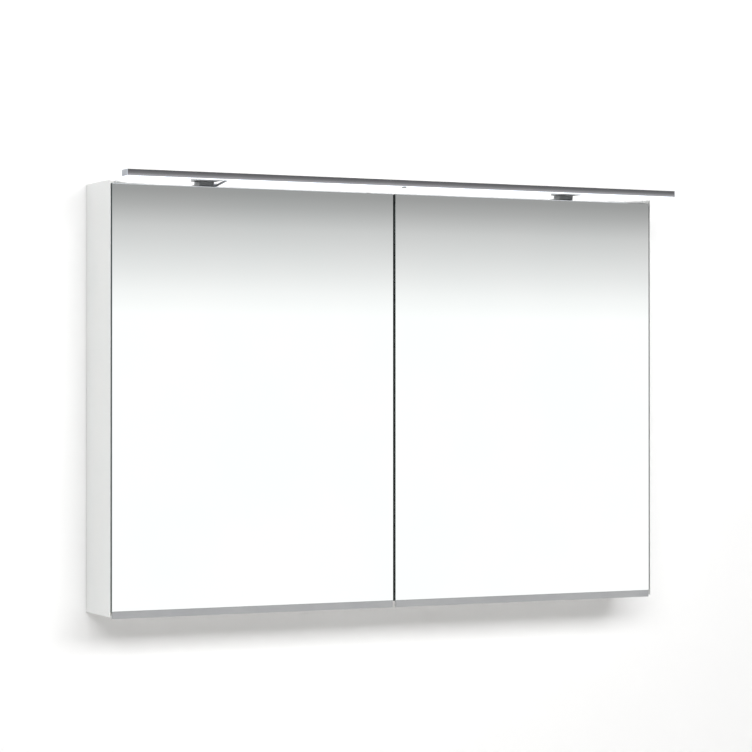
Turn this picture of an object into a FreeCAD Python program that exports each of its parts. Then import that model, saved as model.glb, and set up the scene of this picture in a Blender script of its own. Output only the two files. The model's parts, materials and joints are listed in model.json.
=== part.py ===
"""Mirror cabinet with two pivot-hung doors and a light bar, as separate STEP parts.

Axes: X across the front (zero at mid-width), Y towards the wall (zero on the wall plane),
Z up. Heights below are counted from the underside of the carcass; every part is lowered by
RAIL_HEIGHT when it is saved, which puts the origin at the middle of the wall rail's screws.
"""
import os
from math import cos, pi, radians, tan

import FreeCAD
import Part
from FreeCAD import Vector

# Overall size of the carcass with its doors
WIDTH = 1000.0
HEIGHT = 690.0
DEPTH = 112.0
RAIL_HEIGHT = 620.0

# Carcass
BOARD = 15.0
PANEL = 16.0
COVER = 0.8
TOP_SINK = 4.7
BOTTOM_SINK = 6.1
BACK_RECESS = 16.0
BACK_SHEET = 3.0
SCREW_PLAY = 0.05

# Doors
GLASS = 3.0
CORE = 14.0
DOOR_EDGE_INSET = 3.0
CENTRE_GAP = 4.0
DOOR_TOP_INSET = 5.5
MIRROR_BOTTOM = 8.4
DOOR_TO_CARCASS = 3.5
CORE_INSET = 0.4
GLASS_BEVEL = 0.5
BUMPER_X = (80.0, 400.0)
BUMPER_RADIUS = 4.0
BUMPER_THICK = 3.1

# Magnetic catches and their strike plates
CATCH_X = (20.0, 60.0)
CATCH_HEIGHT = 12.0
CATCH_SEAT = 26.0
CATCH_TO_DOOR = 1.2
STRIKE_X = (22.0, 58.0)
STRIKE_Z = (656.0, 670.0)
STRIKE_SHEET = 0.9

# Grip rail under each door
GRIP_DROP = -2.8
GRIP_SHEET = 1.5
GRIP_SETBACK = 0.5
GRIP_END_INSET = 1.0

# Pivot hinges
PIVOT_INSET = 9.6
PIVOT_BEHIND_FACE = 6.3
PIN_RADIUS = 2.0
BUSH_PLAY = 0.05
BUSH_RADIUS = 3.2
BUSH_LENGTH = 14.0
LEAF_SHEET = 2.5
TONGUE_RADIUS = 4.0
LEAF_SPAN = 44.0
LEAF_DEPTH = 24.0
LEAF_FROM_SIDE = 8.0
PIN_REACH = 12.0
PIN_HEAD_RADIUS = 3.2
PIN_HEAD = 1.0
WASHER_RADIUS = 3.8
WASHER_THICK = 0.5

# Shelves
SHELF_GLASS = 5.0
SHELF_HEIGHTS = (235.0, 450.0)
SHELF_END_GAP = 1.0
SHELF_PIN_RADIUS = 2.5
SHELF_PIN_REACH = 6.0
SHELF_PIN_SEAT = 6.5

# Light bar and its brackets
BAR_LENGTH = 1002.0
BAR_DEPTH = 24.0
BAR_THICK = 10.0
BAR_AHEAD = 78.6
BAR_WALL = 1.3
END_CAP = 1.5
DIFFUSER = 2.0
BRACKET_X = 334.0
ARM_WIDTH = 39.0
ARM_THICK = 5.0
ARM_RAISED = 2.9
FOOT_WIDTH = 26.0
FOOT_FLANGE = 3.0
LED_COUNT = 60
LED_PITCH = 16.0
LED_LENGTH = 3.4
LED_WIDTH = 2.8
LED_HEIGHT = 0.7
LED_BOARD = 1.0
LED_BOARD_SETBACK = 5.0
SENSOR_X = -15.0
SENSOR_RADIUS = 4.0
SENSOR_HEIGHT = 1.6

# Wall rail and hangers
RAIL_HALF_LENGTH = 470.0
RAIL_SHEET = 2.0
RAIL_HOLE_RADIUS = 3.0
RAIL_OUTER_HOLES = 400.0
RAIL_INNER_HOLES = 150.0
RAIL_BELOW = 18.0
RAIL_ABOVE = 12.0
RAIL_OUT = 6.0
LIP_TOP = 22.0
HANGER_WALL_GAP = 1.2
HANGER_IN = 446.0
HOOK_OUT = 466.0
HANGER_SHELF = (25.0, 28.0)
HEIGHT_SCREW_X = 475.0
HEIGHT_SCREW_Y = -8.5
HEIGHT_SCREW_RADIUS = 2.5
HEIGHT_SCREW_LENGTH = 36.0

# Switch box
BOX_WIDTH = 100.0
BOX_HEIGHT = 60.0
BOX_FRONT = -58.0
BOX_PLATE = 2.0
POCKET_PLAY = 0.4
POCKET_DEPTH = 18.0
ROCKER_WIDTH = 14.2
ROCKER_RADIUS = 10.0
ROCKER_TILT = 7.0
WELL_RADIUS = 19.5
WELL_DEPTH = 17.5
CUP_RADIUS = 21.3
CONTACT_OFFSET = 9.5
CONTACT_BORE = 2.45
CONTACT_RADIUS = 3.4
AXLE_RADIUS = 1.2
AXLE_REACH = 2.5

# Wiring behind the back panel
CABLE_RADIUS = 1.75
CABLE_X = -312.0
CABLE_REAR_Y = -11.0
CABLE_BENDS = (12.0, 60.0, 60.0)
LEAD_RADIUS = 2.5
LEAD_BEND = 25.0
FEED_Y = -9.0
FEED_DROP = 12.0
CASE_Y = (-15.7, -1.7)
DRIVER_X = (-330.0, -180.0)
DRIVER_TOP = 580.0
DRIVER_HEIGHT = 35.0
TERMINAL_X = (60.0, 140.0)
TERMINAL_BOTTOM = 555.0
TERMINAL_HEIGHT = 45.0
TERMINAL_WALL = 1.6
LEAD_ENTRY = 30.0
GLAND_RADIUS = 5.5
GLAND_COLLAR = 6.6
GLAND_TIP = 3.0
GLAND_BORE = 3.5
GLAND_LENGTH = 15.5
GLAND_X = 100.0
GLAND_Y = -8.7
NOTCH_HALF_WIDTH = 8.0

# Screws: shank radius, length, head radius and head height
CARCASS_SCREW = (2.5, 42.0, 4.8, 3.0)
LEAF_SCREW = (1.6, 13.0, 3.4, 1.3)
FOOT_SCREW = (2.0, PANEL + 2.4, 3.8, 1.6)
ARM_SCREW = (1.8, ARM_THICK + 4.0, 3.4, 1.2)
BAR_SCREW = (0.9, 9.0, 1.4, 1.2)

# Worked out from the values above
HALF = WIDTH / 2
FACE_Y = -DEPTH
CORE_Y = FACE_Y + GLASS
INNER_GLASS_Y = CORE_Y + CORE
DOOR_BACK_Y = INNER_GLASS_Y + GLASS
CARCASS_Y = DOOR_BACK_Y + DOOR_TO_CARCASS
BOARD_IN = HALF - COVER - BOARD
BOARD_OUT = HALF - COVER
TOP_Z = HEIGHT - TOP_SINK
CEILING_Z = TOP_Z - PANEL
FLOOR_Z = BOTTOM_SINK + PANEL
BACK_Y = -BACK_RECESS - BACK_SHEET
DOOR_OUT = HALF - DOOR_EDGE_INSET
DOOR_IN = CENTRE_GAP / 2
DOOR_TOP = HEIGHT - DOOR_TOP_INSET
PIVOT_X = DOOR_OUT - PIVOT_INSET
PIVOT_Y = FACE_Y + PIVOT_BEHIND_FACE
BAR_FRONT_Y = FACE_Y - BAR_AHEAD
BAR_BACK_Y = BAR_FRONT_Y + BAR_DEPTH
BAR_Z = HEIGHT + 0.5
FOOT_TOP = BAR_Z + ARM_RAISED
CABLE_END_Z = BAR_Z + 4.6
BOX_X = (BOARD_IN - BOX_WIDTH, BOARD_IN)
BOX_MIDDLE_Z = FLOOR_Z + BOX_HEIGHT / 2
ROCKER_X = BOX_X[0] + 20.0
ROCKER_Y = BOX_FRONT + 3.5
WELL_X = BOX_X[0] + 66.0
OUTLET_X = (ROCKER_X + 10.0, ROCKER_X + 30.0)
OUTLET_Z = (BOX_MIDDLE_Z - 2.0, BOX_MIDDLE_Z + 18.0)
SIDES = (("left", -1), ("right", 1))


def block(x_span, y_span, z_span):
    """Box between two limits on each axis."""
    corner = Vector(x_span[0], y_span[0], z_span[0])
    return Part.makeBox(x_span[1] - x_span[0], y_span[1] - y_span[0], z_span[1] - z_span[0], corner)


def rod(radius, start, direction, length):
    """Solid cylinder from a start point along a direction."""
    return Part.makeCylinder(radius, length, Vector(*start), Vector(*direction))


def raised_head_screw(sizes, seat, inward, grow=0.0):
    """Screw whose head stands on a seat and whose shank, grown for a hole, runs inward from it."""
    radius, length, head_radius, head_height = sizes
    outward = [-part for part in inward]
    head = rod(head_radius, seat, outward, head_height)
    return head.fuse(rod(radius + grow, seat, inward, length + grow))


def softened(shape, size):
    """The shape with a small bevel on every edge."""
    return shape.makeChamfer(size, shape.Edges)


def plate_outline(points, z_low, thick):
    """Flat plate from a closed outline of XY points."""
    corners = [Vector(x, y, z_low) for x, y in points]
    face = Part.Face(Part.makePolygon(corners + corners[:1]))
    return face.extrude(Vector(0, 0, thick))


def on_side(shape, side):
    """The shape as built for the right side, or its mirror image for the left."""
    if side > 0:
        return shape
    return shape.mirror(Vector(0, 0, 0), Vector(1, 0, 0))


def save(name, *solids):
    """Write one part, lowered so that the origin is on the wall rail's screw line."""
    shape = solids[0] if len(solids) == 1 else Part.makeCompound(list(solids))
    shape = shape.copy()
    shape.translate(Vector(0, 0, -RAIL_HEIGHT))
    for solid in shape.Solids:
        if not solid.isValid() or solid.Volume <= 0:
            raise ValueError(name + " holds a bad solid")
    shape.exportStep("parts/" + name + ".step")
    print(name, len(shape.Solids), "solids", round(shape.Volume / 1000, 2), "cm3")


# ---- carcass ---------------------------------------------------------------

def carcass_screw_places():
    """Y and Z of the connecting screws through each side board."""
    heights = (BOTTOM_SINK + PANEL / 2, TOP_Z - PANEL / 2)
    return [(y, z) for z in heights for y in (CARCASS_Y + 18.0, -22.0)]


def connecting_screw(y, z, grow=0.0):
    """Countersunk carcass screw from the outside of a side board into a panel."""
    radius, length, head_radius, head_height = CARCASS_SCREW
    shank = rod(radius + grow, (BOARD_OUT - head_height, y, z), (-1, 0, 0), length + grow)
    head = rod(head_radius + grow, (BOARD_OUT - 0.2 + grow, y, z), (-1, 0, 0), head_height + grow)
    return head.fuse(shank)


def shelf_pin_places():
    """Y and Z of the shelf pins on one upright."""
    return [(y, z - SHELF_PIN_RADIUS) for z in SHELF_HEIGHTS for y in (CARCASS_Y + 14.0, BACK_Y - 12.0)]


def shelf_pin_hole(face_x, way, y, z):
    """Blind hole for a shelf pin, into a face at one X."""
    start = (face_x - way, y, z)
    return rod(SHELF_PIN_RADIUS + SCREW_PLAY, start, (way, 0, 0), SHELF_PIN_SEAT + 1.5)


def make_side(name, side):
    """Side board, drilled for screws and shelf pins, and the lacquered cover on its outside."""
    board = softened(block((BOARD_IN, BOARD_OUT), (CARCASS_Y, 0), (0, HEIGHT)), 0.4)
    for y, z in carcass_screw_places():
        board = board.cut(connecting_screw(y, z, SCREW_PLAY))
    for y, z in shelf_pin_places():
        board = board.cut(shelf_pin_hole(BOARD_IN, 1, y, z))
    save("side_board_" + name, on_side(board, side))
    cover = softened(block((BOARD_OUT, HALF), (FACE_Y, 0), (0, HEIGHT)), COVER / 4)
    save("side_cover_" + name, on_side(cover, side))


def make_panel(name, z_low, extra_cuts):
    """Top or bottom panel between the side boards."""
    panel = softened(block((-BOARD_IN, BOARD_IN), (CARCASS_Y, 0), (z_low, z_low + PANEL)), 0.4)
    for y, z in carcass_screw_places():
        screw = connecting_screw(y, z, SCREW_PLAY)
        panel = panel.cut(screw).cut(on_side(screw, -1))
    for cut in extra_cuts:
        panel = panel.cut(cut)
    save(name, panel)


def make_uprights():
    """Centre divider and the recessed back sheet."""
    divider = softened(block((-BOARD / 2, BOARD / 2), (CARCASS_Y, BACK_Y), (FLOOR_Z, CEILING_Z)), 0.4)
    for y, z in shelf_pin_places():
        for way in (-1, 1):
            divider = divider.cut(shelf_pin_hole(way * BOARD / 2, -way, y, z))
    save("centre_divider", divider)
    back = block((-BOARD_IN, BOARD_IN), (BACK_Y, -BACK_RECESS), (FLOOR_Z, CEILING_Z))
    outlet = [(low - 0.5, high + 0.5) for low, high in (OUTLET_X, OUTLET_Z)]
    save("back_panel", back.cut(block(outlet[0], (BACK_Y - 1, 0), outlet[1])))


def make_carcass():
    """Every fixed board and the screws that join them."""
    for name, side in SIDES:
        make_side(name, side)
    make_panel("top_panel", CEILING_Z, hinge_screw_holes(True) + foot_screw_holes() + [cable_hole()])
    make_panel("bottom_panel", BOTTOM_SINK, hinge_screw_holes(False) + [cable_notch()])
    make_uprights()
    screws = [connecting_screw(y, z) for y, z in carcass_screw_places()]
    save("carcass_screws", *[on_side(screw, side) for screw in screws for _, side in SIDES])


# ---- shelves ---------------------------------------------------------------

def make_shelves():
    """Two glass shelves in each bay, lying on four pins each."""
    for level, z in zip(("lower", "upper"), SHELF_HEIGHTS):
        for name, side in SIDES:
            x_span = (BOARD / 2 + SHELF_END_GAP, BOARD_IN - SHELF_END_GAP)
            shelf = block(x_span, (CARCASS_Y + 4, BACK_Y - 2), (z, z + SHELF_GLASS))
            save("glass_shelf_" + level + "_" + name, on_side(softened(shelf, 0.6), side))
    pins = []
    length = SHELF_PIN_REACH + SHELF_PIN_SEAT
    for y, z in shelf_pin_places():
        for _, side in SIDES:
            outer = rod(SHELF_PIN_RADIUS, (BOARD_IN + SHELF_PIN_SEAT, y, z), (-1, 0, 0), length)
            inner = rod(SHELF_PIN_RADIUS, (BOARD / 2 - SHELF_PIN_SEAT, y, z), (1, 0, 0), length)
            pins += [on_side(outer, side), on_side(inner, side)]
    save("shelf_pins", *pins)


# ---- pivot hinges ----------------------------------------------------------

def leaf_screw_places():
    """XY of the screws in a right-hand hinge leaf."""
    x_far = BOARD_IN - LEAF_FROM_SIDE
    return [(x_far - step, CARCASS_Y + LEAF_DEPTH / 2 + 1) for step in (6.0, 30.0)]


def leaf_blank(z_low):
    """Right-hand hinge leaf: a plate on the panel with a slanting tongue to the pivot."""
    slant = TONGUE_RADIUS / 2 ** 0.5
    x_far = BOARD_IN - LEAF_FROM_SIDE
    reach = PIVOT_Y - CARCASS_Y
    outline = [
        (PIVOT_X + slant, PIVOT_Y + slant),
        (PIVOT_X + reach + slant, CARCASS_Y + slant),
        (x_far, CARCASS_Y + LEAF_DEPTH),
        (x_far - LEAF_SPAN, CARCASS_Y + LEAF_DEPTH),
        (x_far - LEAF_SPAN, CARCASS_Y + 1),
        (PIVOT_X + reach - 3 * slant, CARCASS_Y + 1),
        (PIVOT_X - slant, PIVOT_Y - slant),
    ]
    leaf = plate_outline(outline, z_low, LEAF_SHEET)
    tip = rod(TONGUE_RADIUS, (PIVOT_X, PIVOT_Y, z_low), (0, 0, 1), LEAF_SHEET)
    leaf = leaf.fuse(tip).removeSplitter()
    leaf = leaf.cut(rod(PIN_RADIUS + BUSH_PLAY, (PIVOT_X, PIVOT_Y, z_low - 1), (0, 0, 1), LEAF_SHEET + 2))
    for x, y in leaf_screw_places():
        leaf = leaf.cut(rod(LEAF_SCREW[0] + 0.3, (x, y, z_low - 1), (0, 0, 1), LEAF_SHEET + 2))
    return leaf


def leaf_face(top):
    """Height of a hinge leaf's outer face, and the way that it looks."""
    return (TOP_Z + LEAF_SHEET, 1) if top else (BOTTOM_SINK - LEAF_SHEET, -1)


def leaf_screw(x, y, top, grow=0.0):
    """Screw that holds a hinge leaf, driven down into the top panel or up into the bottom panel."""
    face, way = leaf_face(top)
    return raised_head_screw(LEAF_SCREW, (x, y, face), (0, 0, -way), grow)


def hinge_screw_holes(top):
    """Pilot holes for the hinge screws in a panel."""
    holes = [leaf_screw(x, y, top, SCREW_PLAY) for x, y in leaf_screw_places()]
    return [on_side(hole, side) for hole in holes for _, side in SIDES]


def hinge_pin(top):
    """Headed hinge pin riveted through the tongue of a leaf."""
    face, way = leaf_face(top)
    pin = rod(PIN_RADIUS, (PIVOT_X, PIVOT_Y, face), (0, 0, -way), LEAF_SHEET + PIN_REACH)
    return pin.fuse(rod(PIN_HEAD_RADIUS, (PIVOT_X, PIVOT_Y, face), (0, 0, way), PIN_HEAD))


def make_hinges():
    """Four hinge leaves with pins, screws and thrust washers."""
    for level, z in (("top", TOP_Z), ("bottom", BOTTOM_SINK - LEAF_SHEET)):
        save("hinge_leaves_" + level, *[on_side(leaf_blank(z), side) for _, side in SIDES])
    pins = [hinge_pin(top) for top in (True, False)]
    save("hinge_pins", *[on_side(pin, side) for pin in pins for _, side in SIDES])
    screws = [leaf_screw(x, y, top) for top in (True, False) for x, y in leaf_screw_places()]
    save("hinge_screws", *[on_side(screw, side) for screw in screws for _, side in SIDES])
    ring = rod(WASHER_RADIUS, (PIVOT_X, PIVOT_Y, BOTTOM_SINK), (0, 0, 1), WASHER_THICK)
    ring = ring.cut(rod(PIN_RADIUS + BUSH_PLAY, (PIVOT_X, PIVOT_Y, BOTTOM_SINK - 1), (0, 0, 1), 3.0))
    save("thrust_washers", *[on_side(ring, side) for _, side in SIDES])


# ---- doors -----------------------------------------------------------------

def front_edges(shape, y):
    """Edges that lie wholly in the plane at one Y."""
    return [edge for edge in shape.Edges if all(abs(v.Y - y) < 1e-6 for v in edge.Vertexes)]


def bush(z_low):
    """Nylon bush in the door's core, open at both ends."""
    outer = rod(BUSH_RADIUS, (PIVOT_X, PIVOT_Y, z_low), (0, 0, 1), BUSH_LENGTH)
    return outer.cut(rod(PIN_RADIUS + BUSH_PLAY, (PIVOT_X, PIVOT_Y, z_low - 1), (0, 0, 1), BUSH_LENGTH + 2))


def grip_rail():
    """Angle under the mirror: a front leg that hangs down and a flange under the glass and core."""
    x_span = (DOOR_IN + GRIP_END_INSET, DOOR_OUT - GRIP_END_INSET)
    leg_front = FACE_Y + GRIP_SETBACK
    leg = block(x_span, (leg_front, leg_front + GRIP_SHEET), (GRIP_DROP, MIRROR_BOTTOM))
    flange = block(x_span, (leg_front, DOOR_BACK_Y - 1.0), (MIRROR_BOTTOM - GRIP_SHEET, MIRROR_BOTTOM))
    rail = leg.fuse(flange).removeSplitter()
    return rail.cut(rod(PIN_RADIUS + 0.5, (PIVOT_X, PIVOT_Y, MIRROR_BOTTOM - 5), (0, 0, 1), 10.0))


def bumper(x, z):
    """Soft round pad on the back of the door that meets the edge of a panel."""
    pad = rod(BUMPER_RADIUS, (x, DOOR_BACK_Y, z), (0, 1, 0), BUMPER_THICK)
    return pad.makeFillet(BUMPER_RADIUS / 5, front_edges(pad, DOOR_BACK_Y + BUMPER_THICK))


def make_door(name, side):
    """One mirror door with everything that swings with it."""
    x_span = (DOOR_IN, DOOR_OUT)
    z_span = (MIRROR_BOTTOM, DOOR_TOP)
    front = block(x_span, (FACE_Y, CORE_Y), z_span)
    front = front.makeChamfer(GLASS_BEVEL, front_edges(front, FACE_Y))
    back = block(x_span, (INNER_GLASS_Y, DOOR_BACK_Y), z_span)
    back = back.makeChamfer(GLASS_BEVEL, front_edges(back, DOOR_BACK_Y))
    core_x = (DOOR_IN + CORE_INSET, DOOR_OUT - CORE_INSET)
    core = block(core_x, (CORE_Y, INNER_GLASS_Y), (MIRROR_BOTTOM, DOOR_TOP - CORE_INSET))
    bush_low = MIRROR_BOTTOM
    bush_high = DOOR_TOP - CORE_INSET - BUSH_LENGTH
    for z in (bush_low, bush_high):
        core = core.cut(rod(BUSH_RADIUS + SCREW_PLAY, (PIVOT_X, PIVOT_Y, z - 1), (0, 0, 1), BUSH_LENGTH + 2))
    strike = softened(block(STRIKE_X, (DOOR_BACK_Y, DOOR_BACK_Y + STRIKE_SHEET), STRIKE_Z), STRIKE_SHEET / 3)
    bumper_heights = (BOTTOM_SINK + PANEL / 2 + 1, TOP_Z - PANEL / 2)
    bumpers = [bumper(x, z) for x in BUMPER_X for z in bumper_heights]
    save("mirror_front_" + name, on_side(front, side))
    save("mirror_inner_" + name, on_side(back, side))
    save("door_core_" + name, on_side(core, side))
    save("grip_rail_" + name, on_side(grip_rail(), side))
    save("pivot_bushes_" + name, on_side(bush(bush_low), side), on_side(bush(bush_high), side))
    save("strike_plate_" + name, on_side(strike, side))
    save("door_bumpers_" + name, *[on_side(pad, side) for pad in bumpers])


def make_catches():
    """Magnetic catches under the top panel, one for each door."""
    y_span = (DOOR_BACK_Y + CATCH_TO_DOOR, CARCASS_Y + CATCH_SEAT)
    body = softened(block(CATCH_X, y_span, (CEILING_Z - CATCH_HEIGHT, CEILING_Z)), 0.8)
    save("magnetic_catches", *[on_side(body, side) for _, side in SIDES])


# ---- light bar -------------------------------------------------------------

def make_light_bar():
    """Downward-open aluminium channel with caps, diffuser, LED board and LEDs."""
    half = BAR_LENGTH / 2
    x_span = (-half + END_CAP, half - END_CAP)
    top_z = BAR_Z + BAR_THICK
    body = block(x_span, (BAR_FRONT_Y, BAR_BACK_Y), (BAR_Z, top_z))
    upper_edges = [edge for edge in body.Edges if edge.Vertexes[0].Z > top_z - 0.1]
    body = body.makeFillet(0.9, [edge for edge in upper_edges if edge.Length > BAR_DEPTH * 2])
    hollow_y = (BAR_FRONT_Y + BAR_WALL, BAR_BACK_Y - BAR_WALL)
    channel = body.cut(block((-half, half), hollow_y, (BAR_Z - 1, top_z - BAR_WALL)))
    channel = channel.cut(rod(CABLE_RADIUS + 0.1, (CABLE_X, BAR_BACK_Y - 3, CABLE_END_Z), (0, 1, 0), 6.0))
    for x in bar_screw_places():
        hole = bar_screw(x, SCREW_PLAY)
        channel = channel.cut(hole).cut(on_side(hole, -1))
    save("light_bar_profile", channel)
    caps = []
    for _, side in SIDES:
        cap = block((half - END_CAP, half), (BAR_FRONT_Y, BAR_BACK_Y), (BAR_Z, top_z))
        caps.append(on_side(softened(cap, 0.4), side))
    save("light_bar_end_caps", *caps)
    save("light_diffuser", block(x_span, hollow_y, (BAR_Z, BAR_Z + DIFFUSER)))
    board_y = (hollow_y[0] + LED_BOARD_SETBACK, hollow_y[1] - LED_BOARD_SETBACK)
    board_z = (top_z - BAR_WALL - LED_BOARD, top_z - BAR_WALL)
    save("led_board", block((x_span[0] + 4, x_span[1] - 4), board_y, board_z))
    middle_y = (hollow_y[0] + hollow_y[1]) / 2
    leds = []
    for step in range(LED_COUNT):
        x = (step - (LED_COUNT - 1) / 2) * LED_PITCH
        led_x = (x - LED_LENGTH / 2, x + LED_LENGTH / 2)
        led_y = (middle_y - LED_WIDTH / 2, middle_y + LED_WIDTH / 2)
        leds.append(block(led_x, led_y, (board_z[0] - LED_HEIGHT, board_z[0])))
    save("led_chips", *leds)
    sensor = rod(SENSOR_RADIUS, (SENSOR_X, middle_y, BAR_Z), (0, 0, -1), SENSOR_HEIGHT)
    save("presence_sensor", sensor.makeFillet(0.7, [sensor.Edges[0]]))


def foot_screw_places():
    """XY of the screws that hold a bracket's foot to the top panel."""
    return [(BRACKET_X - 7, CARCASS_Y + 10), (BRACKET_X + 7, CARCASS_Y + 24)]


def foot_screw(x, y, grow=0.0):
    """Screw up through the top panel into a bracket foot."""
    return raised_head_screw(FOOT_SCREW, (x, y, CEILING_Z), (0, 0, 1), grow)


def foot_screw_holes():
    """Holes in the top panel for both feet."""
    return [on_side(foot_screw(x, y, SCREW_PLAY), side) for x, y in foot_screw_places() for _, side in SIDES]


def make_brackets():
    """Two flanged feet on the cabinet top, an arm plate on each and the screws."""
    arm_y = (BAR_BACK_Y, CARCASS_Y + 2.0)
    foot_x = (BRACKET_X - FOOT_WIDTH / 2, BRACKET_X + FOOT_WIDTH / 2)
    pedestal = softened(block(foot_x, (FACE_Y + 6.0, CARCASS_Y + 4.0), (TOP_Z, FOOT_TOP)), 0.8)
    flange = block(foot_x, (CARCASS_Y + 1.0, CARCASS_Y + 34.0), (TOP_Z, TOP_Z + FOOT_FLANGE))
    foot = pedestal.fuse(softened(flange, 0.4))
    for x, y in foot_screw_places():
        foot = foot.cut(foot_screw(x, y, SCREW_PLAY))
    foot = foot.cut(arm_screw(SCREW_PLAY))
    arm_x = (BRACKET_X - ARM_WIDTH / 2, BRACKET_X + ARM_WIDTH / 2)
    arm = softened(block(arm_x, arm_y, (FOOT_TOP, FOOT_TOP + ARM_THICK)), 0.7)
    arm = arm.cut(arm_screw(SCREW_PLAY))
    for x in bar_screw_places():
        arm = arm.cut(bar_screw(x, SCREW_PLAY))
    save("bracket_feet", *[on_side(foot, side) for _, side in SIDES])
    save("bracket_arms", *[on_side(arm, side) for _, side in SIDES])
    screws = [foot_screw(x, y) for x, y in foot_screw_places()] + [arm_screw()]
    screws += [bar_screw(x) for x in bar_screw_places()]
    save("bracket_screws", *[on_side(screw, side) for screw in screws for _, side in SIDES])


def bar_screw_places():
    """X of the small screws from the light bar into one arm."""
    return (BRACKET_X - 12.0, BRACKET_X + 12.0)


def bar_screw(x, grow=0.0):
    """Screw from inside the light bar, through its back wall, into the end of an arm."""
    start = (x, BAR_BACK_Y - BAR_WALL, FOOT_TOP + ARM_THICK / 2)
    return raised_head_screw(BAR_SCREW, start, (0, 1, 0), grow)


def arm_screw(grow=0.0):
    """Screw down through an arm plate into its foot."""
    start = (BRACKET_X, CARCASS_Y - 8.0, FOOT_TOP + ARM_THICK)
    return raised_head_screw(ARM_SCREW, start, (0, 0, -1), grow)


# ---- wiring ----------------------------------------------------------------

def cable_hole():
    """Hole in the top panel for the light cable."""
    return rod(CABLE_RADIUS + 0.6, (CABLE_X, CABLE_REAR_Y, CEILING_Z - 1), (0, 0, 1), PANEL + 2)


def cable_notch():
    """Notch in the rear edge of the bottom panel, below the gland, for the mains cable."""
    x_span = (GLAND_X - NOTCH_HALF_WIDTH, GLAND_X + NOTCH_HALF_WIDTH)
    return block(x_span, (-BACK_RECESS - 1.0, 1.0), (BOTTOM_SINK - 1, FLOOR_Z + 1))


def rounded_path(points, bend_radii):
    """Wire of straight runs joined by tangent arcs of at most the given radii."""
    edges = []
    start = points[0]
    for before, corner, after, largest in zip(points, points[1:], points[2:], bend_radii):
        way_in = corner.sub(before)
        way_out = after.sub(corner)
        half_turn = way_in.getAngle(way_out) / 2
        radius = min(largest, 0.45 * min(way_in.Length, way_out.Length) / tan(half_turn))
        setback = radius * tan(half_turn)
        way_in.normalize()
        way_out.normalize()
        first = corner - way_in * setback
        last = corner + way_out * setback
        inward = (way_out - way_in).normalize()
        middle = corner + inward * (radius / cos(half_turn) - radius)
        edges.append(Part.LineSegment(start, first).toShape())
        edges.append(Part.Arc(first, middle, last).toShape())
        print("cable bend radius", round(radius, 1))
        start = last
    edges.append(Part.LineSegment(start, points[-1]).toShape())
    return Part.Wire(edges)


def tube(points, bend_radii, radius):
    """Round cable along a rounded path."""
    path = rounded_path(points, bend_radii)
    ring = Part.Wire([Part.makeCircle(radius, points[0], points[1] - points[0])])
    cable = path.makePipeShell([ring], True, True)
    print("cable volume over section times length", round(cable.Volume / (pi * radius ** 2 * path.Length), 4))
    return cable


def light_cable_route():
    """Corners of the light cable: up from the driver, over the top and into the bar."""
    return [
        Vector(CABLE_X, CABLE_REAR_Y, DRIVER_TOP),
        Vector(CABLE_X, CABLE_REAR_Y, TOP_Z + 11.0),
        Vector(CABLE_X, CARCASS_Y - 6.0, TOP_Z + 2.8),
        Vector(CABLE_X, BAR_BACK_Y + 16.0, CABLE_END_Z),
        Vector(CABLE_X, BAR_BACK_Y - BAR_WALL, CABLE_END_Z),
    ]


def make_light_cable():
    """Light cable and the clip that holds it on the cabinet top."""
    route = light_cable_route()
    save("light_cable", tube(route, CABLE_BENDS, CABLE_RADIUS))
    clip = block((CABLE_X - 5, CABLE_X + 5), (CARCASS_Y + 3, CARCASS_Y + 11), (TOP_Z, TOP_Z + 7.0))
    clip = softened(clip, 0.8)
    save("cable_clip", clip.cut(tube(route, CABLE_BENDS, CABLE_RADIUS + SCREW_PLAY)))


def make_terminal_box():
    """Terminal box behind the back panel, its cover and the gland for the mains cable."""
    box_z = (TERMINAL_BOTTOM, TERMINAL_BOTTOM + TERMINAL_HEIGHT)
    inner_x = (TERMINAL_X[0] + TERMINAL_WALL, TERMINAL_X[1] - TERMINAL_WALL)
    inner_z = (box_z[0] + TERMINAL_WALL, box_z[1] - TERMINAL_WALL)
    shell = block(TERMINAL_X, CASE_Y, box_z)
    shell = shell.cut(block(inner_x, (CASE_Y[0] + TERMINAL_WALL, 0), inner_z))
    shell = shell.cut(rod(GLAND_RADIUS + SCREW_PLAY, (GLAND_X, GLAND_Y, box_z[0] - 1), (0, 0, 1), 4.0))
    save("terminal_box", shell)
    save("terminal_cover", block(inner_x, (CASE_Y[1] - TERMINAL_WALL, CASE_Y[1]), inner_z))
    low = inner_z[0] - GLAND_LENGTH
    gland = rod(GLAND_RADIUS, (GLAND_X, GLAND_Y, low), (0, 0, 1), GLAND_LENGTH)
    collar = rod(GLAND_COLLAR, (GLAND_X, GLAND_Y, low + GLAND_TIP), (0, 0, 1), box_z[0] - low - GLAND_TIP)
    gland = gland.fuse(collar).removeSplitter()
    save("cable_gland", gland.cut(rod(GLAND_BORE, (GLAND_X, GLAND_Y, low - 1), (0, 0, 1), GLAND_LENGTH + 2)))


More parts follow.
